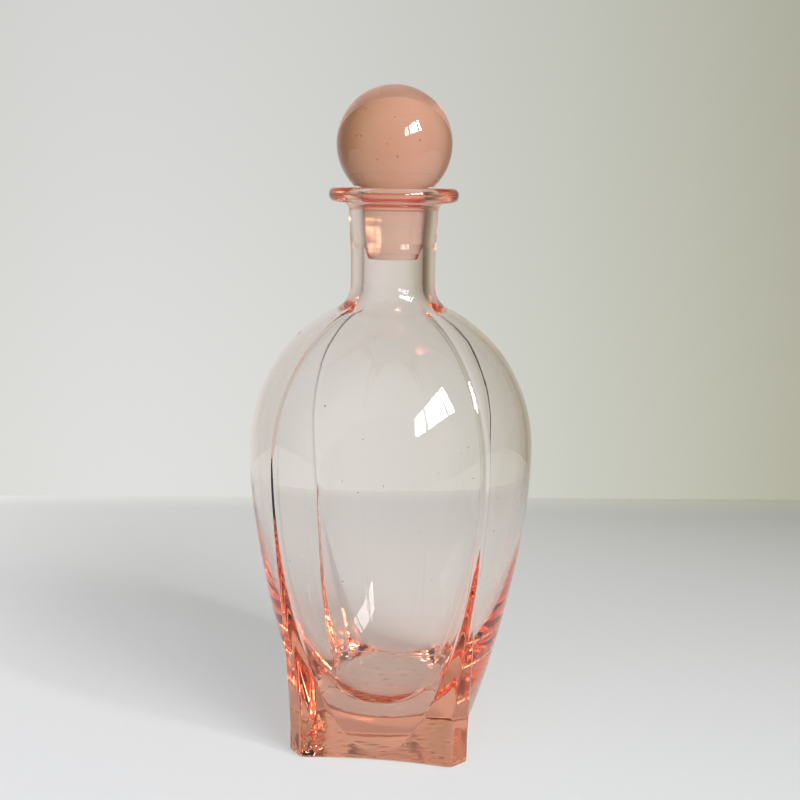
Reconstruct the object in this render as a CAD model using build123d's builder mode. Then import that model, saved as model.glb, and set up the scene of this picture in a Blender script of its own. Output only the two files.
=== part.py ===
from build123d import *
import math
import os

# A stoppered bottle of moulded pink glass: an ovoid body standing on a square foot.
# Four ribs run down the corners of the body and widen into solid legs.
# The stopper is a solid glass ball with a tapered, ground peg.
# All sizes are in millimetres. The origin is at the middle of the foot's underside.

# Body: an ovoid of revolution, widest at the waist
waist_radius = 45.0
waist_height = 95.0
shoulder_rise = 48.9        # half-height of the elliptical shoulder above the waist
body_toe_inset = 0.9        # at the foot's underside the ovoid lies this far inside the hollows
body_toe_rise = 19.0        # how far the toe keeps its slope before it swells
body_toe_spread = 7.2
body_waist_drop = 32.0      # how far below the waist the sides stay upright

# Foot and legs: a square pillar with hollowed sides and flat corner facets
foot_half_width = 29.1      # from the axis to the line through two neighbouring corners
foot_hollow = 2.4           # depth of the hollow in the middle of each side
facet_width = 8.4           # of the flat facet on each corner, at the foot
facet_plumb_height = 8.0    # height over which the foot stands upright
facet_flare_rise = 26.0
foot_edge_radius = 1.2

# Ribs
rib_height = 0.5            # how far a rib stands out of the body
rib_width = 1.2

# Neck and lip
lip_top = 177.2
lip_radius = 20.0
lip_thickness = 4.4
lip_edge_radius = 2.0
lip_root_radius = 2.6
neck_radius = 13.2
neck_top_radius = 14.0
neck_flare_height = 16.0    # the neck is a plain tube up to here below the lip, then it flares
neck_root_radius = 8.0

# Hollow of the bottle
wall = 2.0
floor_thickness = 14.0
floor_flat_radius = 14.0
cavity_waist_drop = 28.0
bore_radius = 9.3
bore_root_radius = 11.0
relief_height = 1.5         # the bore widens below the ground seat over this height

# Stopper
ball_radius = 17.7
ball_foot_radius = 12.4     # where the ball is cut flat above the lip
ball_gap = 0.4              # the ball clears the lip, because the taper seats first
peg_top_radius = 10.3       # at the level of the lip's top
peg_taper = 4.6             # degrees on each side
peg_length = 21.6           # below the lip's top
peg_tip_height = 3.8        # length of the chamfered tip
peg_tip_inset = 1.1
peg_root_radius = 1.0
seat_clearance = 0.06
seat_overrun = 1.2          # the seat ends this far above the start of the peg's tip
mouth_chamfer = 0.7

# Worked out from the sizes above
body_toe_radius = foot_half_width - foot_hollow - body_toe_inset
facet_radius = math.sqrt(2) * foot_half_width - facet_width / 2
crest_waist_radius = waist_radius + rib_height
pillar_top_half_width = waist_radius / math.sqrt(2)
cavity_waist_radius = waist_radius - wall
rib_end_radius = (neck_radius + bore_radius) / 2
taper_slope = math.tan(math.radians(peg_taper))
peg_tip_start = lip_top - peg_length + peg_tip_height
peg_low_radius = peg_top_radius - taper_slope * (lip_top - peg_tip_start)
seat_bottom = peg_tip_start + seat_overrun
seat_top_radius = peg_top_radius + seat_clearance
seat_low_radius = seat_top_radius - taper_slope * (lip_top - seat_bottom)
ball_centre = lip_top + ball_gap + math.sqrt(ball_radius**2 - ball_foot_radius**2)
peg_root_joint_radius = peg_top_radius + taper_slope * ball_gap


def shoulder_poles(half_width, rise, end_radius):
    """Poles of the cubic that follows an upright ellipse from the waist up to a radius."""
    turn = math.acos(end_radius / half_width)
    reach = 4 / 3 * math.tan(turn / 4)
    end_height = waist_height + rise * math.sin(turn)
    return (
        (half_width, waist_height),
        (half_width, waist_height + reach * rise),
        (end_radius + reach * half_width * math.sin(turn), end_height - reach * rise * math.cos(turn)),
        (end_radius, end_height),
    )


# Each rib runs down one diagonal of the foot, so two ribs share an upright plane
diagonals = [Plane((0, 0, 0), x_dir=(1, side, 0), z_dir=(side, -1, 0)) for side in (1, -1)]

with BuildSketch() as crest:
    with BuildLine():
        plumb = Line((facet_radius, 0), (facet_radius, facet_plumb_height))
        Bezier(
            plumb @ 1,
            (facet_radius, facet_plumb_height + facet_flare_rise),
            (crest_waist_radius, waist_height - body_waist_drop),
            (crest_waist_radius, waist_height),
        )
        crown = Bezier(*shoulder_poles(crest_waist_radius, shoulder_rise + rib_height, rib_end_radius))
        Polyline(crown @ 1, (0, (crown @ 1).Y), (0, 0), plumb @ 0)
    make_face()
    mirror(about=Plane.YZ)

with BuildPart() as bottle:
    # The square pillar with hollowed sides, which becomes the foot and the legs
    for height, half_width in (
        (0, foot_half_width),
        (facet_plumb_height, foot_half_width),
        (waist_height, pillar_top_half_width),
    ):
        with BuildSketch(Plane.XY.offset(height)):
            with BuildLine():
                for quarter in range(4):
                    turn = 90 * quarter
                    ThreePointArc(
                        Vector(half_width, -half_width).rotate(Axis.Z, turn),
                        Vector(half_width - foot_hollow, 0).rotate(Axis.Z, turn),
                        Vector(half_width, half_width).rotate(Axis.Z, turn),
                    )
            make_face()
    loft(ruled=True)
    # Its corners are cut back to the crest of the ribs, which leaves the flat facets
    for plane in diagonals:
        with BuildSketch(plane):
            add(crest)
        extrude(amount=2 * waist_radius, both=True, mode=Mode.INTERSECT)
    fillet(edges().group_by(Axis.Z)[0], radius=foot_edge_radius)
    # The ovoid body, the neck and the lip
    with BuildSketch(Plane.XZ):
        with BuildLine():
            toe = Bezier(
                (body_toe_radius, 0),
                (body_toe_radius + body_toe_spread, body_toe_rise),
                (waist_radius, waist_height - body_waist_drop),
                (waist_radius, waist_height),
            )
            shoulder = Bezier(*shoulder_poles(waist_radius, shoulder_rise, neck_radius))
            neck = Line(shoulder @ 1, (neck_radius, lip_top - lip_thickness - neck_flare_height))
            flare = Line(neck @ 1, (neck_top_radius, lip_top - lip_thickness))
            Polyline(
                flare @ 1,
                (lip_radius, lip_top - lip_thickness),
                (lip_radius, lip_top),
                (0, lip_top),
                (0, 0),
                toe @ 0,
            )
        make_face()
        corners = vertices()
        fillet(
            corners.filter_by_position(Axis.X, lip_radius - 0.01, lip_radius + 0.01),
            radius=lip_edge_radius,
        )
        fillet(corners.sort_by_distance(flare @ 1)[0], radius=lip_root_radius)
        fillet(corners.sort_by_distance(shoulder @ 1)[0], radius=neck_root_radius)
        fillet(corners.sort_by_distance(toe @ 0)[0], radius=foot_edge_radius)
    revolve(axis=Axis.Z)
    # The ribs
    for plane in diagonals:
        with BuildSketch(plane):
            add(crest)
        extrude(amount=rib_width / 2, both=True)
    # The hollow: a bowl-shaped floor, thin sides, the bore, and the ground seat for the peg
    with BuildSketch(Plane.XZ):
        with BuildLine():
            bowl = Bezier(
                (floor_flat_radius, floor_thickness),
                (body_toe_radius + body_toe_spread - wall, floor_thickness),
                (cavity_waist_radius, waist_height - cavity_waist_drop),
                (cavity_waist_radius, waist_height),
            )
            vault = Bezier(*shoulder_poles(cavity_waist_radius, shoulder_rise - wall, bore_radius))
            Polyline(
                vault @ 1,
                (bore_radius, seat_bottom - relief_height),
                (seat_low_radius, seat_bottom),
                (seat_top_radius, lip_top),
                (0, lip_top),
                (0, floor_thickness),
                bowl @ 0,
            )
        make_face()
        fillet(vertices().sort_by_distance(vault @ 1)[0], radius=bore_root_radius)
    revolve(axis=Axis.Z, mode=Mode.SUBTRACT)
    mouth = edges().filter_by(GeomType.CIRCLE).sort_by_distance((seat_top_radius, 0, lip_top))[0]
    chamfer(mouth, length=mouth_chamfer)
bottle.part.label = "bottle"

with BuildPart() as stopper:
    # The ball, cut flat where it faces the lip, and the ground peg with a chamfered tip
    with BuildSketch(Plane.XZ):
        with BuildLine():
            ball = ThreePointArc(
                (ball_foot_radius, lip_top + ball_gap),
                (ball_radius, ball_centre),
                (0, ball_centre + ball_radius),
            )
            Polyline(
                ball @ 1,
                (0, lip_top - peg_length),
                (peg_low_radius - peg_tip_inset, lip_top - peg_length),
                (peg_low_radius, peg_tip_start),
                (peg_root_joint_radius, lip_top + ball_gap),
                ball @ 0,
            )
        make_face()
        root = vertices().sort_by_distance((peg_root_joint_radius, lip_top + ball_gap))[0]
        fillet(root, radius=peg_root_radius)
    revolve(axis=Axis.Z)
stopper.part.label = "stopper"

os.makedirs("parts", exist_ok=True)
export_step(bottle.part, "parts/bottle.step")
export_step(stopper.part, "parts/stopper.step")
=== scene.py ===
import logging
import math
from dataclasses import dataclass
from enum import Enum

import bpy
import numpy as np
from mathutils import Matrix, Vector


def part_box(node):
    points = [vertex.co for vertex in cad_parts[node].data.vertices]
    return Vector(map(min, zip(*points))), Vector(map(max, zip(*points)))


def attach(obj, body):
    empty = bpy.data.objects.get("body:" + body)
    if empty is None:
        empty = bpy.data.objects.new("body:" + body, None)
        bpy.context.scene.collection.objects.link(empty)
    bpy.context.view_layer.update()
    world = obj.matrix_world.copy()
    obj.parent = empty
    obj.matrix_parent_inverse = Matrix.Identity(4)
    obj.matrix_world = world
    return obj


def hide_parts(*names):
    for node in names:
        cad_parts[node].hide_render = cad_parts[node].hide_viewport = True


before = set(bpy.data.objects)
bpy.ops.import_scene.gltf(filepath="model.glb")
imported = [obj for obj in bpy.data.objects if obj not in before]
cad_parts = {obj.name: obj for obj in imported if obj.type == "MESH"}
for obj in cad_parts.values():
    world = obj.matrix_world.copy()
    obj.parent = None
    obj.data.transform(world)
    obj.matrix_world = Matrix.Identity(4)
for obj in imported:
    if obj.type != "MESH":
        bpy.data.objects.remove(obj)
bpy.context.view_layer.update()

MM = 0.001
FILLET_ROWS = 14
FINE_ROWS = 400
TRIAL_ANGLES = 1500
LEAST_ARC = 0.05
POWER_PER_RADIANCE = 4.0
POLISH_VALUES = (
    "Swell",
    "Ripple",
    "Clean Roughness",
    "Handled Roughness",
    "Ground Low",
    "Ground High",
    "Ground Radius",
    "Ground Roughness",
)
log = logging.getLogger("bottle")


class Body(Enum):
    """The two bodies of the frame that pieces ride on."""

    BOTTLE = "bottle"
    STOPPER = "stopper"


class Slot(Enum):
    """The material slots' names."""

    BOTTLE = "bottle_glass"
    STOPPER = "stopper_glass"


# ---------------------------------------------------------------- curves and surfaces


def bezier(poles: tuple, count: int) -> np.ndarray:
    """Sample a cubic: the poles weighted by the cubic Bernstein polynomials.

    Args:
        poles: Four (radius, height) pairs.
        count: How many points to return.

    Returns:
        Points along the curve, one row each.
    """
    t = np.linspace(0.0, 1.0, count)[:, None]
    p = np.asarray(poles, float)
    return (1 - t) ** 3 * p[0] + 3 * (1 - t) ** 2 * t * p[1] + 3 * (1 - t) * t**2 * p[2] + t**3 * p[3]


def rounded(corners: np.ndarray, radii: np.ndarray, steps: int = 6) -> np.ndarray:
    """Round a polyline: every corner becomes an arc that is tangent to both its runs.

    The arc starts radius * tan(turn / 2) before the corner, and its centre lies one radius
    to the side that the line turns to.

    Args:
        corners: The polyline's points as (radius, height) rows, ends included.
        radii: One radius for each inner corner.
        steps: How many spans each arc has.

    Returns:
        The rounded line's points.
    """
    before, corner, after = corners[:-2], corners[1:-1], corners[2:]
    into = (corner - before) / np.linalg.norm(corner - before, axis=1, keepdims=True)
    out = (after - corner) / np.linalg.norm(after - corner, axis=1, keepdims=True)
    cross = into[:, 0] * out[:, 1] - into[:, 1] * out[:, 0]
    turn = np.arctan2(cross, np.sum(into * out, axis=1))
    start = corner - into * (radii * np.tan(np.abs(turn) / 2))[:, None]
    left = np.stack([-into[:, 1], into[:, 0]], axis=1) * np.sign(turn)[:, None]
    centre = start + left * radii[:, None]
    angle = turn[:, None] * np.linspace(0.0, 1.0, steps + 1)[None, :]
    arm = (start - centre)[:, None, :]
    cos, sin = np.cos(angle), np.sin(angle)
    across, up = arm[..., 0], arm[..., 1]
    swung = np.stack([across * cos - up * sin, across * sin + up * cos], axis=-1)
    arcs = (centre[:, None, :] + swung).reshape(-1, 2)
    return np.vstack([corners[:1], arcs, corners[-1:]])


def soft_max(a: np.ndarray, b: np.ndarray, softness: float) -> np.ndarray:
    """The larger of two values, with the crossing rounded.

    Where the gap is less than the softness, the shortfall squared over four softnesses is added.
    """
    return np.maximum(a, b) + np.maximum(softness - np.abs(a - b), 0.0) ** 2 / (4 * softness)


def soft_min(a: np.ndarray, b: np.ndarray, softness: float) -> np.ndarray:
    """The smaller of two values, with the crossing rounded as in soft_max."""
    return -soft_max(-a, -b, softness)


def root_fillet(curve: np.ndarray, end_radius: float, fillet: float) -> np.ndarray:
    """Round the corner between a rising curve and the upright wall above it.

    The fillet's centre is where the curve, moved outwards by the fillet, crosses the wall's radius
    plus the fillet. The arc runs from the curve's nearest point round to the wall.

    Args:
        curve: (radius, height) rows that rise and narrow to the end radius.
        end_radius: The upright wall's radius.
        fillet: The rounding's radius.

    Returns:
        The curve up to the arc, and then the arc.
    """
    along = np.gradient(curve, axis=0)
    normal = np.stack([along[:, 1], -along[:, 0]], axis=1)
    normal /= np.linalg.norm(normal, axis=1, keepdims=True)
    moved = curve + normal * fillet
    upper = len(curve) // 2
    row = np.interp(-(end_radius + fillet), -moved[upper:, 0], np.arange(upper, len(curve)))
    centre = np.array([end_radius + fillet, np.interp(row, np.arange(len(curve)), moved[:, 1])])
    touch = np.array([np.interp(row, np.arange(len(curve)), curve[:, axis]) for axis in (0, 1)])
    first = math.atan2(touch[1] - centre[1], touch[0] - centre[0]) % (2 * math.pi)
    swing = np.linspace(first, math.pi, FILLET_ROWS)
    arc = centre + fillet * np.stack([np.cos(swing), np.sin(swing)], axis=1)
    return np.vstack([curve[: int(row)], arc])


def smooth_step(low: float, high: float, x: np.ndarray) -> np.ndarray:
    """Rise from 0 at low to 1 at high along 3t^2 - 2t^3."""
    t = np.clip((x - low) / (high - low), 0.0, 1.0)
    return t * t * (3 - 2 * t)


def closed_skin(name: str, rings: np.ndarray, seeds: np.ndarray) -> bpy.types.Object:
    """Join rings of points into one closed skin, with a pole at each end, and add the seeds.

    Args:
        name: The new object's name.
        rings: Array of rows, columns and xyz. The first and last rows are each a single
            place repeated. Rows run so that, with columns counted anticlockwise from above, the
            outside lies to the right of the direction of travel.
        seeds: One row for each bubble in the glass: its middle's xyz and its radius.

    Returns:
        The object, at the origin, smooth shaded.
    """
    rows, columns, _ = rings.shape
    inner = rings[1:-1].reshape(-1, 3)
    points = np.vstack([rings[0, :1], inner, rings[-1, :1]])
    index = 1 + np.arange((rows - 2) * columns).reshape(rows - 2, columns)
    turned = np.roll(index, -1, axis=1)
    quads = np.stack([index[:-1], turned[:-1], turned[1:], index[1:]], axis=-1).reshape(-1, 4)
    first = np.stack([np.zeros(columns, int), turned[0], index[0]], axis=-1)
    last = np.stack([np.full(columns, len(points) - 1), index[-1], turned[-1]], axis=-1)
    bubble_points, bubble_faces = bubbles(seeds)
    points = np.vstack([points, bubble_points])
    return mesh_object(name, points, [first, quads, last, bubble_faces + len(points) - len(bubble_points)])


def bubbles(seeds: np.ndarray) -> tuple[np.ndarray, np.ndarray]:
    """Make small closed voids: an octahedron's faces, each cut in four and pushed out to a sphere.

    The faces point into the void, which is out of the glass round it.

    Args:
        seeds: One row for each void: its middle's xyz and its radius.

    Returns:
        The points of all voids, and the triangles.
    """
    tips = np.array([(1, 0, 0), (0, 1, 0), (-1, 0, 0), (0, -1, 0), (0, 0, 1), (0, 0, -1)], float)
    sides = np.array([(a, (a + 1) % 4, tip)[:: 1 if tip == 4 else -1] for tip in (4, 5) for a in range(4)])
    ends = tips[sides]
    middles = ends + np.roll(ends, -1, axis=1)
    middles /= np.linalg.norm(middles, axis=2, keepdims=True)
    small = [np.stack([ends[:, k], middles[:, k], middles[:, k - 1]], axis=1) for k in range(3)] + [middles]
    loose = np.concatenate(small)[:, ::-1].reshape(-1, 3)
    sphere, number = np.unique(loose.round(6), axis=0, return_inverse=True)
    points = seeds[:, None, :3] + seeds[:, None, 3:] * sphere[None]
    faces = number.reshape(-1, 3)[None] + len(sphere) * np.arange(len(seeds))[:, None, None]
    return points.reshape(-1, 3), faces.reshape(-1, 3)


def mesh_object(name: str, points: np.ndarray, faces: list[np.ndarray]) -> bpy.types.Object:
    """Put points and faces into a new smooth mesh object.

    Args:
        name: The object's name.
        points: Vertex places, one xyz row each.
        faces: Arrays of vertex numbers, one array for each number of corners.

    Returns:
        The object, linked into the scene.
    """
    mesh = bpy.data.meshes.new(name)
    loops = np.concatenate([block.ravel() for block in faces]).astype(np.int32)
    sides = np.concatenate([np.full(len(block), block.shape[1]) for block in faces]).astype(np.int32)
    mesh.vertices.add(len(points))
    mesh.vertices.foreach_set("co", points.astype(np.float32).ravel())
    mesh.loops.add(len(loops))
    mesh.loops.foreach_set("vertex_index", loops)
    mesh.polygons.add(len(sides))
    mesh.polygons.foreach_set("loop_start", np.concatenate([[0], np.cumsum(sides)[:-1]]).astype(np.int32))
    mesh.polygons.foreach_set("use_smooth", np.ones(len(sides), bool))
    mesh.update(calc_edges=True)
    mesh.validate()
    obj = bpy.data.objects.new(name, mesh)
    bpy.context.scene.collection.objects.link(obj)
    return obj


# ---------------------------------------------------------------- shader groups


def group_socket(
    tree: bpy.types.NodeTree, name: str, kind: str, way: str, default: float | None = None
) -> None:
    """Add one named socket to a node group.

    Args:
        tree: The group.
        name: The socket's name.
        kind: Its socket type.
        way: INPUT or OUTPUT.
        default: Its value where nothing is linked.
    """
    socket = tree.interface.new_socket(name=name, socket_type=kind, in_out=way)
    if default is not None:
        socket.default_value = default


def range_node(nodes: bpy.types.Nodes, low: float, high: float) -> bpy.types.Node:
    """Add a Map Range node that takes values from low to high."""
    node = nodes.new("ShaderNodeMapRange")
    node.inputs["From Min"].default_value = low
    node.inputs["From Max"].default_value = high
    return node


def fire_polish_group() -> bpy.types.NodeTree:
    """Build the group for moulded, fire-polished glass.

    The surface has a slow swell left by the mould and finer chill ripples. The group puts out a
    bumped normal, and a roughness that rises a little in handled patches and more where the glass
    is ground. The ground zone lies between two heights and inside a radius.

    Returns:
        The node group.
    """
    tree = bpy.data.node_groups.new("fire_polish", "ShaderNodeTree")
    group_socket(tree, "Vector", "NodeSocketVector", "INPUT")
    for name in POLISH_VALUES:
        group_socket(tree, name, "NodeSocketFloat", "INPUT", 0.0)
    group_socket(tree, "Normal", "NodeSocketVector", "OUTPUT")
    group_socket(tree, "Roughness", "NodeSocketFloat", "OUTPUT")
    nodes, links = tree.nodes, tree.links
    source, sink = nodes.new("NodeGroupInput"), nodes.new("NodeGroupOutput")

    def noise(per_metre: float, detail: float) -> bpy.types.Node:
        """Add a noise pattern on the glass, with so many waves to a metre."""
        node = nodes.new("ShaderNodeTexNoise")
        node.inputs["Scale"].default_value = per_metre
        node.inputs["Detail"].default_value = detail
        links.new(source.outputs["Vector"], node.inputs["Vector"])
        return node

    swell, ripple, handled = noise(38.0, 1.0), noise(260.0, 2.0), noise(55.0, 5.0)
    swell_bump, ripple_bump = nodes.new("ShaderNodeBump"), nodes.new("ShaderNodeBump")
    for bump in (swell_bump, ripple_bump):
        bump.inputs["Distance"].default_value = MM
    patches = range_node(nodes, 0.48, 0.72)
    links.new(swell.outputs["Fac"], swell_bump.inputs["Height"])
    links.new(source.outputs["Swell"], swell_bump.inputs["Strength"])
    links.new(swell_bump.outputs["Normal"], ripple_bump.inputs["Normal"])
    links.new(ripple.outputs["Fac"], ripple_bump.inputs["Height"])
    links.new(source.outputs["Ripple"], ripple_bump.inputs["Strength"])
    links.new(handled.outputs["Fac"], patches.inputs["Value"])
    links.new(source.outputs["Clean Roughness"], patches.inputs["To Min"])
    links.new(source.outputs["Handled Roughness"], patches.inputs["To Max"])
    links.new(ripple_bump.outputs["Normal"], sink.inputs["Normal"])

    split = nodes.new("ShaderNodeSeparateXYZ")
    flat = nodes.new("ShaderNodeCombineXYZ")
    reach = nodes.new("ShaderNodeVectorMath")
    reach.operation = "LENGTH"
    links.new(source.outputs["Vector"], split.inputs["Vector"])
    links.new(split.outputs["X"], flat.inputs["X"])
    links.new(split.outputs["Y"], flat.inputs["Y"])
    links.new(flat.outputs["Vector"], reach.inputs[0])

    def combine(
        operation: str, one: bpy.types.NodeSocket, other: bpy.types.NodeSocket
    ) -> bpy.types.NodeSocket:
        """Put two values through a Math node and return its result."""
        node = nodes.new("ShaderNodeMath")
        node.operation = operation
        links.new(one, node.inputs[0])
        links.new(other, node.inputs[1])
        return node.outputs["Value"]

    above = combine("GREATER_THAN", split.outputs["Z"], source.outputs["Ground Low"])
    below = combine("LESS_THAN", split.outputs["Z"], source.outputs["Ground High"])
    within = combine("LESS_THAN", reach.outputs["Value"], source.outputs["Ground Radius"])
    ground = combine("MULTIPLY", combine("MULTIPLY", above, below), within)
    haze = combine("MULTIPLY", ground, source.outputs["Ground Roughness"])
    links.new(combine("MAXIMUM", patches.outputs["Result"], haze), sink.inputs["Roughness"])
    return tree


# ---------------------------------------------------------------- finishes


@dataclass(frozen=True)
class GlassFinish:
    """Clear salmon-pink glass: a colourless polished skin round a body that absorbs light."""

    name: str
    tint: tuple[float, float, float, float] = (0.99, 0.525, 0.275, 1.0)
    density: float = 43.0
    ior: float = 1.51
    swell: float = 0.18
    ripple: float = 0.004
    clean_roughness: float = 0.0
    handled_roughness: float = 0.02
    ground_low: float = 0.0
    ground_high: float = 0.0
    ground_radius: float = 10.9 * MM
    ground_roughness: float = 0.09

    def build(self, polish: bpy.types.NodeTree) -> bpy.types.Material:
        """Make the material.

        Args:
            polish: The fire_polish group.

        Returns:
            The material.
        """
        material = bpy.data.materials.new(self.name)
        material.use_nodes = True
        nodes, links = material.node_tree.nodes, material.node_tree.links
        nodes.clear()
        place = nodes.new("ShaderNodeTexCoord")
        skin = nodes.new("ShaderNodeGroup")
        skin.node_tree = polish
        values = (
            self.swell,
            self.ripple,
            self.clean_roughness,
            self.handled_roughness,
            self.ground_low,
            self.ground_high,
            self.ground_radius,
            self.ground_roughness,
        )
        for name, value in zip(POLISH_VALUES, values, strict=True):
            skin.inputs[name].default_value = value
        glass = nodes.new("ShaderNodeBsdfPrincipled")
        glass.inputs["Base Color"].default_value = (1.0, 1.0, 1.0, 1.0)
        glass.inputs["Transmission Weight"].default_value = 1.0
        glass.inputs["IOR"].default_value = self.ior
        absorb = nodes.new("ShaderNodeVolumeAbsorption")
        absorb.inputs["Color"].default_value = self.tint
        absorb.inputs["Density"].default_value = self.density
        out = nodes.new("ShaderNodeOutputMaterial")

        links.new(place.outputs["Object"], skin.inputs["Vector"])
        links.new(skin.outputs["Normal"], glass.inputs["Normal"])
        links.new(skin.outputs["Roughness"], glass.inputs["Roughness"])
        links.new(glass.outputs["BSDF"], out.inputs["Surface"])
        links.new(absorb.outputs["Volume"], out.inputs["Volume"])
        return material


@dataclass(frozen=True)
class TableFinish:
    """A matt white table top under soft light from all round.

    The soft light is a glow that casts no shadow. It is brightest at the front left and fades
    towards the back right. Over the rim width at the back it turns into the colour of the wall,
    so that the edge is soft. Places are in metres.
    """

    name: str
    paint: tuple[float, float, float, float] = (0.47, 0.47, 0.47, 1.0)
    front_left: tuple[float, float, float, float] = (0.425, 0.425, 0.44, 1.0)
    front_right: tuple[float, float, float, float] = (0.31, 0.32, 0.315, 1.0)
    back_left: tuple[float, float, float, float] = (0.40, 0.40, 0.385, 1.0)
    back_right: tuple[float, float, float, float] = (0.035, 0.037, 0.0, 1.0)
    rim_left: tuple[float, float, float, float] = (0.50, 0.50, 0.48, 1.0)
    rim_right: tuple[float, float, float, float] = (0.09, 0.09, 0.02, 1.0)
    rim_width: float = 0.03
    front_edge: float = -0.06
    back_edge: float = 0.27
    side: float = 0.22
    roughness: float = 0.6

    def build(self) -> bpy.types.Material:
        """Make the material."""
        material = bpy.data.materials.new(self.name)
        material.use_nodes = True
        nodes, links = material.node_tree.nodes, material.node_tree.links
        skin = nodes["Principled BSDF"]
        skin.inputs["Base Color"].default_value = self.paint
        skin.inputs["Roughness"].default_value = self.roughness
        skin.inputs["Specular IOR Level"].default_value = 0.15
        # Painted light: the emission is a shadowless glow, graded from front left to back right, that
        # stands in for the room's soft light. At the back rim it blends into the wall's glow.
        skin.inputs["Emission Strength"].default_value = 1.0
        place = nodes.new("ShaderNodeTexCoord")
        split = nodes.new("ShaderNodeSeparateXYZ")
        across = range_node(nodes, -self.side, self.side)
        along = range_node(nodes, self.front_edge, self.back_edge)
        over_rim = range_node(nodes, self.back_edge - self.rim_width, self.back_edge)
        over_rim.interpolation_type = "SMOOTHSTEP"
        front, back, rim, fade, whole = (nodes.new("ShaderNodeMix") for _ in range(5))
        for mix in (front, back, rim, fade, whole):
            mix.data_type = "RGBA"
        for mix, left, right in (
            (front, self.front_left, self.front_right),
            (back, self.back_left, self.back_right),
            (rim, self.rim_left, self.rim_right),
        ):
            mix.inputs["A"].default_value = left
            mix.inputs["B"].default_value = right
            links.new(across.outputs["Result"], mix.inputs["Factor"])
        links.new(place.outputs["Object"], split.inputs["Vector"])
        links.new(split.outputs["X"], across.inputs["Value"])
        links.new(split.outputs["Y"], along.inputs["Value"])
        links.new(along.outputs["Result"], fade.inputs["Factor"])
        links.new(front.outputs["Result"], fade.inputs["A"])
        links.new(back.outputs["Result"], fade.inputs["B"])
        links.new(split.outputs["Y"], over_rim.inputs["Value"])
        links.new(over_rim.outputs["Result"], whole.inputs["Factor"])
        links.new(fade.outputs["Result"], whole.inputs["A"])
        links.new(rim.outputs["Result"], whole.inputs["B"])
        links.new(whole.outputs["Result"], skin.inputs["Emission Color"])
        return material


@dataclass(frozen=True)
class BackdropFinish:
    """A wall that glows with painted light, lightest low down and left of the middle, and clear from
    behind.

    Each stop across is a place in metres and the light's colour there, and each stop upwards is a
    height and the share of that light.
    """

    name: str
    stops: tuple[tuple[float, tuple[float, float, float]], ...]
    rise: tuple[tuple[float, float], ...]

    @staticmethod
    def ramp(nodes: bpy.types.Nodes, links: bpy.types.NodeLinks, stops: tuple) -> tuple:
        """Make a colour ramp over a distance.

        Args:
            nodes: The material's nodes.
            links: The material's links.
            stops: Pairs of distance and colour.

        Returns:
            The node that takes the distance, and the ramp that gives the colour.
        """
        low, high = stops[0][0], stops[-1][0]
        scale = range_node(nodes, low, high)
        ramp = nodes.new("ShaderNodeValToRGB")
        ramp.color_ramp.interpolation = "B_SPLINE"
        for number, (distance, colour) in enumerate(stops):
            share = (distance - low) / (high - low)
            if number in (0, len(stops) - 1):
                stop = ramp.color_ramp.elements[0 if number == 0 else -1]
                stop.position = share
            else:
                stop = ramp.color_ramp.elements.new(share)
            stop.color = (*colour, 1.0)
        links.new(scale.outputs["Result"], ramp.inputs["Fac"])
        return scale, ramp

    def build(self) -> bpy.types.Material:
        """Make the material."""
        material = bpy.data.materials.new(self.name)
        material.use_nodes = True
        nodes, links = material.node_tree.nodes, material.node_tree.links
        nodes.clear()
        place = nodes.new("ShaderNodeTexCoord")
        split = nodes.new("ShaderNodeSeparateXYZ")
        # Painted light: the wall's glow is graded across and upwards to stand in for how the room's light
        # falls on it.
        across, hue = self.ramp(nodes, links, self.stops)
        upwards, share = self.ramp(nodes, links, tuple((z, (level,) * 3) for z, level in self.rise))
        shade = nodes.new("ShaderNodeMix")
        shade.data_type = "RGBA"
        shade.blend_type = "MULTIPLY"
        shade.inputs["Factor"].default_value = 1.0
        glow = nodes.new("ShaderNodeEmission")
        clear = nodes.new("ShaderNodeBsdfTransparent")
        behind = nodes.new("ShaderNodeNewGeometry")
        choose = nodes.new("ShaderNodeMixShader")
        out = nodes.new("ShaderNodeOutputMaterial")
        links.new(place.outputs["Object"], split.inputs["Vector"])
        links.new(split.outputs["X"], across.inputs["Value"])
        links.new(split.outputs["Z"], upwards.inputs["Value"])
        links.new(hue.outputs["Color"], shade.inputs["A"])
        links.new(share.outputs["Color"], shade.inputs["B"])
        links.new(shade.outputs["Result"], glow.inputs["Color"])
        links.new(behind.outputs["Backfacing"], choose.inputs["Fac"])
        links.new(glow.outputs["Emission"], choose.inputs[1])
        links.new(clear.outputs["BSDF"], choose.inputs[2])
        links.new(choose.outputs["Shader"], out.inputs["Surface"])
        return material


# ---------------------------------------------------------------- the bottle


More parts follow.
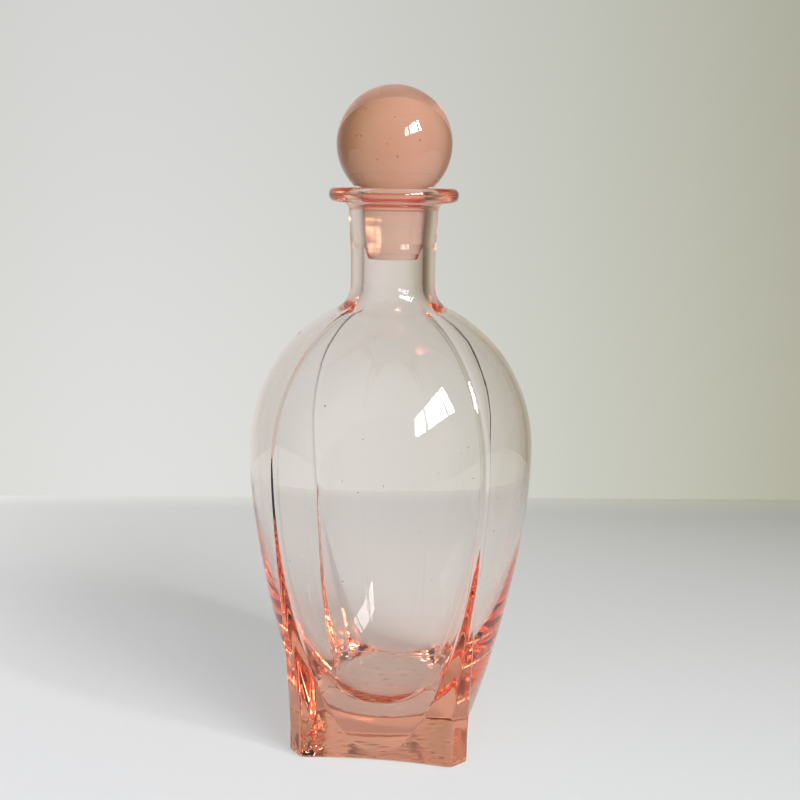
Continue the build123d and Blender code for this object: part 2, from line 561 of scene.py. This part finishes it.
@dataclass
class BottleGlass:
    """The moulded bottle: ovoid body, ribs, legs, square foot, neck and lip, with its hollow.

    Lengths are in metres. The outer radius and the height come from the frame.
    """

    waist_radius: float
    lip_top: float
    waist_height: float = 95.0 * MM
    shoulder_rise: float = 48.9 * MM
    toe_inset: float = 0.9 * MM
    toe_rise: float = 19.0 * MM
    toe_spread: float = 7.2 * MM
    waist_drop: float = 32.0 * MM
    foot_half_width: float = 29.1 * MM
    foot_hollow: float = 2.4 * MM
    facet_width: float = 8.4 * MM
    least_facet: float = 0.6
    plumb_height: float = 8.0 * MM
    flare_rise: float = 26.0 * MM
    foot_edge: float = 1.2 * MM
    rib_height: float = 0.34 * MM
    rib_spread: float = 1.0 * MM
    neck_radius: float = 13.2 * MM
    neck_top_radius: float = 14.0 * MM
    neck_flare_height: float = 16.0 * MM
    neck_root: float = 8.0 * MM
    lip_radius: float = 20.0 * MM
    lip_thickness: float = 4.4 * MM
    lip_edge: float = 2.0 * MM
    lip_root: float = 2.6 * MM
    wall: float = 2.0 * MM
    floor_thickness: float = 14.0 * MM
    floor_flat: float = 14.0 * MM
    cavity_drop: float = 28.0 * MM
    bore_radius: float = 9.3 * MM
    bore_root: float = 11.0 * MM
    mouth_radius: float = 10.36 * MM
    mouth_chamfer: float = 0.7 * MM
    seat_bottom_radius: float = 9.02 * MM
    seat_depth: float = 16.6 * MM
    relief: float = 1.5 * MM
    flare_round: float = 8.0 * MM
    mouth_edge: float = 0.4 * MM
    seat_edge: float = 0.3 * MM
    bore_edge: float = 0.6 * MM
    rib_fade: tuple[float, float] = (1.5 * MM, 6.0 * MM)
    edge_softness: float = 0.9 * MM
    crease_softness: float = 0.25 * MM
    hollow_rise: float = 0.35 * MM
    wrinkle_height: float = 0.3 * MM
    wrinkle_pitch: float = 7.0 * MM
    wrinkle_end: float = 0.93
    seed_draw: int = 11
    seed_count: int = 46
    seed_radii: tuple[float, float] = (0.14, 0.32)
    seed_rows: int = 200
    seed_first_row: int = 60
    seed_margin: int = 5
    side_rows: int = 92
    shoulder_rows: int = 56
    vault_rows: int = 44
    bowl_rows: int = 52
    floor_rows: int = 6
    edge_rows: int = 7
    underside_rows: int = 37
    panel_spans: int = 13
    flank_spans: int = 9
    facet_spans: int = 10

    @property
    def toe_radius(self) -> float:
        """The ovoid's radius at the foot's underside."""
        return self.foot_half_width - self.foot_hollow - self.toe_inset

    def shoulder_poles(self, half_width: float, rise: float, end_radius: float) -> tuple:
        """Poles of the cubic that follows an upright ellipse from the waist up to a radius.

        Args:
            half_width: The ellipse's half-width.
            rise: Its half-height.
            end_radius: The radius where the curve ends.

        Returns:
            Four (radius, height) pairs.
        """
        turn = math.acos(end_radius / half_width)
        reach = 4 / 3 * math.tan(turn / 4)
        end_height = self.waist_height + rise * math.sin(turn)
        return (
            (half_width, self.waist_height),
            (half_width, self.waist_height + reach * rise),
            (end_radius + reach * half_width * math.sin(turn), end_height - reach * rise * math.cos(turn)),
            (end_radius, end_height),
        )

    def body_side(self, count: int) -> np.ndarray:
        """The ovoid's outline from toe to waist, a cubic."""
        return bezier(
            (
                (self.toe_radius, 0.0),
                (self.toe_radius + self.toe_spread, self.toe_rise),
                (self.waist_radius, self.waist_height - self.waist_drop),
                (self.waist_radius, self.waist_height),
            ),
            count,
        )

    def crest_side(self, height: np.ndarray) -> np.ndarray:
        """The radius of the facets and rib crests: upright, then a cubic that flares to the waist."""
        facet = math.sqrt(2) * self.foot_half_width - self.facet_width / 2
        crest = self.waist_radius + self.rib_height
        curve = bezier(
            (
                (facet, self.plumb_height),
                (facet, self.plumb_height + self.flare_rise),
                (crest, self.waist_height - self.waist_drop),
                (crest, self.waist_height),
            ),
            FINE_ROWS,
        )
        return np.interp(height, curve[:, 1], curve[:, 0])

    def pillar_half_width(self, height: np.ndarray) -> np.ndarray:
        """Half the square pillar's width: upright to the plumb height, then widening evenly."""
        top = self.waist_radius / math.sqrt(2)
        grown = np.clip((height - self.plumb_height) / (self.waist_height - self.plumb_height), 0.0, 1.0)
        return self.foot_half_width + (top - self.foot_half_width) * grown

    def pillar_radius(self, angle: np.ndarray, height: np.ndarray) -> np.ndarray:
        """The square pillar's radius: the smaller of its hollowed side and its corner facet.

        A side's distance from the axis is half - hollow * (1 - (y / half)^2), where y is the distance
        along it, so its radius solves a quadratic. A facet's radius is its distance over the cosine.

        Args:
            angle: Angle from the middle of the nearest side.
            height: Height above the underside.

        Returns:
            The radius at each angle and height.
        """
        half = self.pillar_half_width(height)
        square = np.maximum(self.foot_hollow * (np.sin(angle) / half) ** 2, 1e-9)
        rest = half - self.foot_hollow
        under_root = np.maximum(np.cos(angle) ** 2 - 4 * square * rest, 0.0)
        side = (np.cos(angle) - np.sqrt(under_root)) / (2 * square)
        facet = self.crest_side(height) / np.cos(math.pi / 4 - angle)
        return soft_min(side, facet, self.edge_softness)

    def rib_bump(self, angle: np.ndarray, radius: np.ndarray) -> np.ndarray:
        """Height of the rib beside its middle: a bell, the exponential of minus the square."""
        off = radius * np.abs(math.pi / 4 - angle)
        return self.rib_height * np.exp(-((off / self.rib_spread) ** 2))

    def body_radius(self, angle: np.ndarray, height: np.ndarray, ovoid: np.ndarray) -> np.ndarray:
        """The body's outer radius: the larger of the ovoid with its ribs and the square pillar."""
        ribbed = ovoid + self.rib_bump(angle, ovoid)
        return soft_max(ribbed, self.pillar_radius(angle, height), self.crease_softness)

    def half_panel_angles(self, height: np.ndarray, ovoid: np.ndarray) -> np.ndarray:
        """Spread the columns of half a panel so that they follow its creases.

        One crease is where the pillar's side leaves the ovoid, found as the first of many
        trial angles where the pillar is outside. The other is the edge of the facet or rib.

        Args:
            height: Heights of the rows.
            ovoid: The ovoid's radius at each row.

        Returns:
            Angles from the panel's middle to its rib, one row for each height.
        """
        trial = np.linspace(0.0, math.pi / 4, TRIAL_ANGLES)[None, :]
        outside = self.pillar_radius(trial, height[:, None]) > ovoid[:, None]
        arc = np.where(outside.any(axis=1), trial[0, outside.argmax(axis=1)], math.pi / 4)
        crest = self.crest_side(height)
        corner = math.sqrt(2) * self.pillar_half_width(height)
        facet_half = np.maximum(corner - crest, self.least_facet * self.rib_spread)
        facet_edge = math.pi / 4 - np.arctan(facet_half / crest)
        rib_foot = facet_edge - 2 * self.rib_spread / ovoid
        arc = np.clip(np.minimum(arc, rib_foot), LEAST_ARC, None)
        near_end = np.sin(np.linspace(0.0, math.pi / 2, self.panel_spans + 1))
        both_ends = 0.5 - 0.5 * np.cos(np.linspace(0.0, math.pi, self.flank_spans + 1))
        near_start = 1 - np.cos(np.linspace(0.0, math.pi / 2, self.facet_spans + 1))
        return np.hstack(
            [
                arc[:, None] * near_end[None, :],
                arc[:, None] + (facet_edge - arc)[:, None] * both_ends[None, 1:],
                facet_edge[:, None] + (math.pi / 4 - facet_edge)[:, None] * near_start[None, 1:],
            ]
        )

    def all_round(self, half: np.ndarray) -> tuple[np.ndarray, np.ndarray]:
        """Mirror and repeat half a panel's angles all the way round.

        Args:
            half: Angles from a panel's middle to its rib, one row for each ring.

        Returns:
            The angle from the nearest panel's middle, and the whole turn's angle, for every column.
        """
        near = np.hstack([half[:, ::-1], half[:, 1:-1]])
        signed = np.hstack([-half[:, ::-1], half[:, 1:-1]])
        turned = [signed + quarter * math.pi / 2 for quarter in range(4)]
        return np.tile(near, (1, 4)), np.hstack(turned)

    def body_rings(self) -> np.ndarray:
        """Rings of the outside from the middle of the underside up to the root of the neck.

        The underside is the foot's outline shrunk towards its middle, and its edge is a
        quarter circle. The side is body_radius over the ovoid's outline. On the shoulder the ribs
        stand out along the outline's normal and sink away towards the neck.

        Returns:
            Array of rings, columns and xyz.
        """
        side = self.body_side(self.side_rows)
        side = side[side[:, 1] > self.foot_edge]
        heights = np.concatenate([[self.foot_edge], side[:, 1]])
        fine = self.body_side(FINE_ROWS)
        ovoid = np.interp(heights, fine[:, 1], fine[:, 0])
        half = self.half_panel_angles(heights, ovoid)
        near, turn = self.all_round(half)
        radius = self.body_radius(near, heights[:, None], ovoid[:, None])
        side_rings = polar(radius, turn, heights[:, None] + 0 * turn)

        foot_turn = turn[:1]
        swing = np.linspace(0.0, math.pi / 2, self.edge_rows + 1)[:-1, None]
        edge_radius = radius[0][None, :] - self.foot_edge * (1 - np.sin(swing))
        edge_height = self.foot_edge * (1 - np.cos(swing)) + 0 * edge_radius
        edge_rings = polar(edge_radius, foot_turn + 0 * edge_radius, edge_height)
        share = np.linspace(0.0, 1.0, self.underside_rows + 1)[:-1, None]
        under_radius = share * edge_radius[:1]
        under_rings = polar(under_radius, foot_turn + 0 * under_radius, 0 * under_radius)
        under_rings[..., 2] = self.kick_up(under_rings[..., 0], under_rings[..., 1], share)

        shoulder = self.shoulder_outline()[1:]
        along = np.gradient(shoulder, axis=0)
        normal = np.stack([along[:, 1], -along[:, 0]], axis=1)
        normal /= np.linalg.norm(normal, axis=1, keepdims=True)
        half = self.half_panel_angles(np.full(len(shoulder), self.waist_height), shoulder[:, 0])
        near, turn = self.all_round(half)
        gone, full = (self.neck_radius + off for off in self.rib_fade)
        sink = smooth_step(gone, full, shoulder[:, 0])
        proud = self.rib_bump(near, shoulder[:, :1]) * sink[:, None]
        radius = shoulder[:, :1] + proud * normal[:, :1]
        height = shoulder[:, 1:] + proud * normal[:, 1:]
        return np.concatenate([under_rings, edge_rings, side_rings, polar(radius, turn, height)])

    def kick_up(self, x: np.ndarray, y: np.ndarray, share: np.ndarray) -> np.ndarray:
        """Height of the underside: a shallow hollow with chill wrinkles, flat at its edge.

        The wrinkles are three crossed cosines, each bent by a slow one, and they are squared so that
        they never go below the underside.

        Args:
            x: Places across.
            y: Places along.
            share: How far out each ring lies, from 0 in the middle to 1 at the edge.

        Returns:
            The height above the underside.
        """
        step = self.wrinkle_pitch / (2 * math.pi)
        bend = 0.9 * np.sin(x / (2.3 * step) + 0.4) + 0.7 * np.cos(y / (2.9 * step))
        waves = np.cos(x / step + bend) + np.cos((0.5 * x + 0.87 * y) / step - bend)
        waves = waves + np.cos((0.6 * x - 0.8 * y) / (1.3 * step) + 1.1)
        fade = smooth_step(1.0, self.wrinkle_end, share)
        return fade * (self.hollow_rise * (1 - share**2) + self.wrinkle_height * waves**2 / 9)

    def shoulder_outline(self) -> np.ndarray:
        """The shoulder from the waist up into the neck, with its fillet."""
        poles = self.shoulder_poles(self.waist_radius, self.shoulder_rise, self.neck_radius)
        return root_fillet(bezier(poles, self.shoulder_rows), self.neck_radius, self.neck_root)

    def vault_outline(self) -> np.ndarray:
        """The hollow's shoulder from its waist up into the bore, one wall inside the outer one."""
        waist, rise = self.waist_radius - self.wall, self.shoulder_rise - self.wall
        poles = self.shoulder_poles(waist, rise, self.bore_radius)
        return root_fillet(bezier(poles, self.vault_rows), self.bore_radius, self.bore_root)

    def neck_outline(self) -> np.ndarray:
        """The neck, lip, mouth and seat, down to the plain bore: a polyline with rounded corners."""
        lip_under = self.lip_top - self.lip_thickness
        seat_bottom = self.lip_top - self.seat_depth
        corners = np.array(
            [
                self.shoulder_outline()[-1] + (0.0, 0.2 * MM),
                (self.neck_radius, lip_under - self.neck_flare_height),
                (self.neck_top_radius, lip_under),
                (self.lip_radius, lip_under),
                (self.lip_radius, self.lip_top),
                (self.mouth_radius + self.mouth_chamfer, self.lip_top),
                (self.mouth_radius, self.lip_top - self.mouth_chamfer),
                (self.seat_bottom_radius, seat_bottom),
                (self.bore_radius, seat_bottom - self.relief),
                self.vault_outline()[-1] + (0.0, 0.2 * MM),
            ]
        )
        lip = (self.lip_root, self.lip_edge, self.lip_edge)
        mouth = (self.mouth_edge, self.mouth_edge, self.seat_edge, self.bore_edge)
        return rounded(corners, np.array([self.flare_round, *lip, *mouth]), 5)

    def hollow_outline(self) -> np.ndarray:
        """The hollow from below the bore down to the middle of the floor: two cubics and a flat."""
        vault = self.vault_outline()[::-1]
        bowl = bezier(
            (
                (self.floor_flat, self.floor_thickness),
                (self.toe_radius + self.toe_spread - self.wall, self.floor_thickness),
                (self.waist_radius - self.wall, self.waist_height - self.cavity_drop),
                (self.waist_radius - self.wall, self.waist_height),
            ),
            self.bowl_rows,
        )[::-1]
        inwards = np.linspace(self.floor_flat, 0.0, self.floor_rows)
        flat = np.stack([inwards, np.full(self.floor_rows, self.floor_thickness)], axis=1)
        return np.vstack([vault, bowl[1:], flat[1:]])

    def seeds(self) -> np.ndarray:
        """Scatter bubbles half a wall inside the outline, at random heights and angles."""
        draw = np.random.default_rng(self.seed_draw)
        body = self.body_side(self.seed_rows)[self.seed_first_row :]
        outline = np.vstack([body, self.shoulder_outline()[1:-FILLET_ROWS]])
        along = np.gradient(outline, axis=0)
        inward = np.stack([-along[:, 1], along[:, 0]], axis=1)
        inward /= np.linalg.norm(inward, axis=1, keepdims=True)
        row = draw.integers(self.seed_margin, len(outline) - self.seed_margin, self.seed_count)
        place = outline[row] + inward[row] * self.wall / 2
        turn = draw.uniform(0.0, 2 * math.pi, self.seed_count)
        size = draw.uniform(*self.seed_radii, self.seed_count) * MM
        return np.column_stack([polar(place[:, 0], turn, place[:, 1]), size])

    def build(self, material: bpy.types.Material) -> bpy.types.Object:
        """Make the bottle as one closed skin, outside and hollow together.

        Args:
            material: The glass.

        Returns:
            The finished piece, riding on its body.
        """
        outside = self.body_rings()
        columns = outside.shape[1]
        outline = np.vstack([self.neck_outline(), self.hollow_outline()])
        even = np.broadcast_to(np.arctan2(outside[-1, :, 1], outside[-1, :, 0]), (len(outline), columns))
        inside = polar(outline[:, :1] + 0 * even, even, outline[:, 1:] + 0 * even)
        piece = closed_skin("bottle_glass", np.concatenate([outside, inside]), self.seeds())
        piece.data.materials.append(material)
        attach(piece, Body.BOTTLE.value)
        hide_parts("bottle")
        log.info("bottle_glass: %d faces", len(piece.data.polygons))
        return piece


def polar(radius: np.ndarray, turn: np.ndarray, height: np.ndarray) -> np.ndarray:
    """Turn radius, angle and height into xyz, with the angle counted anticlockwise from +X."""
    return np.stack([radius * np.cos(turn), radius * np.sin(turn), height], axis=-1)


# ---------------------------------------------------------------- the stopper


@dataclass
class StopperGlass:
    """The solid stopper: a ball over a tapered, ground peg with a chamfered tip."""

    lip_top: float
    ball_top: float
    peg_bottom: float
    ball_radius: float = 17.7 * MM
    ball_foot: float = 12.4 * MM
    gap: float = 0.4 * MM
    peg_top_radius: float = 10.33 * MM
    peg_low_radius: float = 8.868 * MM
    tip_height: float = 3.8 * MM
    tip_inset: float = 1.1 * MM
    root: float = 1.0 * MM
    corner: float = 0.35 * MM
    columns: int = 224
    ball_rows: int = 150
    seed_reach: float = 0.93
    seed_floor: float = -0.6
    seed_draw: int = 5
    seed_count: int = 26
    seed_radii: tuple[float, float] = (0.12, 0.28)

    def seeds(self) -> np.ndarray:
        """Scatter bubbles through the ball evenly by volume, and lift the lowest to a floor."""
        draw = np.random.default_rng(self.seed_draw)
        way = draw.normal(size=(self.seed_count, 3))
        way /= np.linalg.norm(way, axis=1, keepdims=True)
        reach = self.seed_reach * self.ball_radius * draw.uniform(0.0, 1.0, (self.seed_count, 1)) ** (1 / 3)
        place = way * reach
        lifted = np.maximum(place[:, 2], self.seed_floor * self.ball_radius)
        place[:, 2] = lifted + self.ball_top - self.ball_radius
        return np.column_stack([place, draw.uniform(*self.seed_radii, self.seed_count) * MM])

    def outline(self) -> np.ndarray:
        """The outline from the top of the ball down to the middle of the peg's tip.

        The ball is an arc of a circle, and the peg is a polyline with rounded corners.

        Returns:
            (radius, height) rows.
        """
        centre = self.ball_top - self.ball_radius
        foot_height = self.lip_top + self.gap
        low = math.asin((foot_height - centre) / self.ball_radius)
        swing = np.linspace(math.pi / 2, low, self.ball_rows)[:-2]
        ball = centre_arc(centre, self.ball_radius, swing)
        corners = np.array(
            [
                ball[-1],
                (self.ball_foot, foot_height),
                (self.peg_top_radius, foot_height),
                (self.peg_low_radius, self.peg_bottom + self.tip_height),
                (self.peg_low_radius - self.tip_inset, self.peg_bottom),
                (0.0, self.peg_bottom),
            ]
        )
        peg = rounded(corners, np.array([self.corner / 2, self.root, 3 * self.corner, self.corner]), 6)
        return np.vstack([ball, peg[1:]])

    def build(self, material: bpy.types.Material) -> bpy.types.Object:
        """Make the stopper by turning its outline round the axis.

        Args:
            material: The glass.

        Returns:
            The finished piece, riding on its body.
        """
        outline = self.outline()[::-1]
        turn = np.linspace(0.0, 2 * math.pi, self.columns, endpoint=False)[None, :]
        even = turn + 0 * outline[:, :1]
        rings = polar(outline[:, :1] + 0 * even, even, outline[:, 1:] + 0 * even)
        piece = closed_skin("stopper_glass", rings, self.seeds())
        piece.data.materials.append(material)
        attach(piece, Body.STOPPER.value)
        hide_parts("stopper")
        log.info("stopper_glass: %d faces", len(piece.data.polygons))
        return piece


def centre_arc(centre: float, radius: float, swing: np.ndarray) -> np.ndarray:
    """Points of a circle centred on the axis, as (radius, height) rows, at angles above the level."""
    return np.stack([radius * np.cos(swing), centre + radius * np.sin(swing)], axis=1)


# ---------------------------------------------------------------- the studio


@dataclass(frozen=True)
class Window:
    """A wide window in a wall beside the table, as panes of light with bars between them.

    The wall's nearest point lies at an angle to the right of the camera's side, and each pane is a
    stretch along the wall, counted from that point towards the back of the room, and its radiance.
    """

    wall_angle: float = math.radians(80.0)
    wall_distance: float = 1.2
    sill: float = 0.75
    head: float = 1.35
    panes: tuple[tuple[float, float, float], ...] = (
        (-1.98, -1.45, 12.0),
        (-1.333, -0.671, 17.0),
        (-0.605, -0.475, 40.0),
    )

    def build(self, turned: Matrix) -> None:
        """Hang one area light for each pane.

        Args:
            turned: The turn that points +Y along the camera's line of sight.
        """
        out = Vector((math.sin(self.wall_angle), -math.cos(self.wall_angle), 0.0))
        along = Vector((math.cos(self.wall_angle), math.sin(self.wall_angle), 0.0))
        facing = out.to_track_quat("Z", "Y").to_matrix().to_4x4()
        for number, (start, end, radiance) in enumerate(self.panes):
            data = bpy.data.lights.new(f"pane_{number}", "AREA")
            data.shape = "RECTANGLE"
            data.size, data.size_y = end - start, self.head - self.sill
            data.energy = POWER_PER_RADIANCE * radiance * data.size * data.size_y
            light = bpy.data.objects.new(f"pane_{number}", data)
            middle = out * self.wall_distance + along * ((start + end) / 2)
            middle.z = (self.sill + self.head) / 2
            light.matrix_world = turned @ Matrix.Translation(middle) @ facing
            bpy.context.scene.collection.objects.link(light)


@dataclass
class Studio:
    """The pale table, the wall behind it, the window and the camera."""

    yaw: float = math.radians(6.65)
    pitch: float = math.radians(11.30)
    roll: float = math.radians(0.81)
    camera_back: float = 359.0 * MM
    camera_right: float = 2.76 * MM
    camera_height: float = 182.4 * MM
    focal_share: float = 1149.0 / 800.0
    table_back: float = 271.0 * MM
    table_skew: float = math.radians(1.76)
    table_front: float = 320.0 * MM
    table_side: float = 1.5
    table_drop: float = 0.05 * MM
    wall_distance: float = 1.0
    wall_half_width: float = 4.0
    wall_low: float = -1.0
    wall_high: float = 2.2
    dim_room: float = 0.13
    bright_room: float = 0.78
    dim_from: float = -0.15
    bright_from: float = -0.75

    def turned(self) -> Matrix:
        """The turn about the vertical that points +Y along the camera's line of sight."""
        return Matrix.Rotation(self.yaw, 4, "Z")

    def camera(self) -> bpy.types.Object:
        """Set the camera in front of the bottle, looking slightly down."""
        data = bpy.data.cameras.new("camera")
        data.sensor_width = 36.0
        data.lens = data.sensor_width * self.focal_share
        data.clip_start = 0.01
        data.clip_end = 50.0
        camera = bpy.data.objects.new("camera", data)
        stand = Matrix.Translation((self.camera_right, -self.camera_back, self.camera_height))
        tilt = Matrix.Rotation(math.pi / 2 - self.pitch, 4, "X")
        lean = Matrix.Rotation(self.roll, 4, "Z")
        camera.matrix_world = self.turned() @ stand @ tilt @ lean
        bpy.context.scene.collection.objects.link(camera)
        bpy.context.scene.camera = camera
        return camera

    def stage(self) -> None:
        """Lay the table top a hair below the bottle's foot, and stand the wall behind it."""
        side, back, front, low = self.table_side, self.table_back, -self.table_front, -self.table_drop
        skew = side * math.tan(self.table_skew)
        table_corners = np.array(
            [(-side, front, low), (side, front, low), (side, back + skew, low), (-side, back - skew, low)]
        )
        wide, far = self.wall_half_width, self.wall_distance
        wall_corners = np.array(
            [
                (-wide, far, self.wall_low),
                (wide, far, self.wall_low),
                (wide, far, self.wall_high),
                (-wide, far, self.wall_high),
            ]
        )
        quad = np.array([[0, 1, 2, 3]])
        table = mesh_object("table", table_corners, [quad])
        wall = mesh_object("wall", wall_corners, [quad])
        table.data.materials.append(TableFinish("table_white").build())
        # Painted light on the wall: the glow's colour across it, and below it the share of that glow
        # upwards.
        wall_stops = (
            (-3.0, (0.23, 0.21, 0.19)),
            (-1.6, (0.44, 0.42, 0.37)),
            (-0.97, (0.64, 0.63, 0.59)),
            (-0.45, (0.76, 0.76, 0.745)),
            (-0.25, (0.765, 0.765, 0.75)),
            (0.0, (0.70, 0.705, 0.67)),
            (0.3, (0.575, 0.585, 0.495)),
            (0.58, (0.425, 0.41, 0.315)),
            (0.97, (0.25, 0.20, 0.13)),
            (1.6, (0.15, 0.12, 0.085)),
            (3.0, (0.12, 0.11, 0.09)),
        )
        wall_rise = (
            (-0.6, 1.0),
            (-0.15, 0.99),
            (0.15, 0.91),
            (0.5, 0.84),
            (0.9, 0.75),
            (1.4, 0.5),
            (2.2, 0.2),
        )
        wall.data.materials.append(BackdropFinish("wall_painted_light", wall_stops, wall_rise).build())
        wall.visible_diffuse = False
        for obj in (table, wall):
            obj.matrix_world = self.turned()

    def surroundings(self) -> None:
        """Light the room's camera side well and the rest dimly, and let light bounce far.

        The brightness rises smoothly with how far a direction points towards the camera's side.
        """
        world = bpy.data.worlds.new("room")
        world.use_nodes = True
        background = world.node_tree.nodes["Background"]
        background.inputs["Color"].default_value = (0.95, 0.96, 1.0, 1.0)
        nodes, links = world.node_tree.nodes, world.node_tree.links
        way = nodes.new("ShaderNodeTexCoord")
        split = nodes.new("ShaderNodeSeparateXYZ")
        nearness = range_node(nodes, self.dim_from, self.bright_from)
        nearness.interpolation_type = "SMOOTHSTEP"
        nearness.inputs["To Min"].default_value = self.dim_room
        nearness.inputs["To Max"].default_value = self.bright_room
        links.new(way.outputs["Object"], split.inputs["Vector"])
        links.new(split.outputs["Y"], nearness.inputs["Value"])
        links.new(nearness.outputs["Result"], background.inputs["Strength"])
        scene = bpy.context.scene
        scene.world = world
        scene.view_settings.view_transform = "Standard"
        scene.cycles.max_bounces = 40
        scene.cycles.transmission_bounces = 40
        scene.cycles.glossy_bounces = 24
        scene.cycles.transparent_max_bounces = 40
        scene.cycles.caustics_refractive = True
        scene.cycles.caustics_reflective = True
        scene.cycles.use_denoising = True

    def build(self) -> None:
        """Set up everything that isn't the bottle."""
        self.stage()
        Window().build(self.turned())
        self.surroundings()
        self.camera()


# ---------------------------------------------------------------- putting it together


def main() -> None:
    """Build the bottle, the stopper and the studio in order."""
    logging.basicConfig(level=logging.INFO, format="%(name)s: %(message)s")
    low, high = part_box("bottle")
    peg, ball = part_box("stopper")
    polish = fire_polish_group()
    bottle = BottleGlass(waist_radius=min(-low[0], -low[1], high[0], high[1]), lip_top=high[2])
    stopper = StopperGlass(lip_top=high[2], ball_top=ball[2], peg_bottom=peg[2])
    seat = (high[2] - bottle.seat_depth, high[2] - bottle.mouth_chamfer)
    taper = (peg[2] + stopper.tip_height, high[2] - bottle.mouth_chamfer)
    bottle_finish = GlassFinish("salmon_glass", density=30.0, ground_low=seat[0], ground_high=seat[1])
    stopper_finish = GlassFinish("salmon_glass_solid", ground_low=taper[0], ground_high=taper[1])
    bottle.build(bottle_finish.build(polish))
    stopper.build(stopper_finish.build(polish))
    Studio().build()


if __name__ == "__main__":
    main()
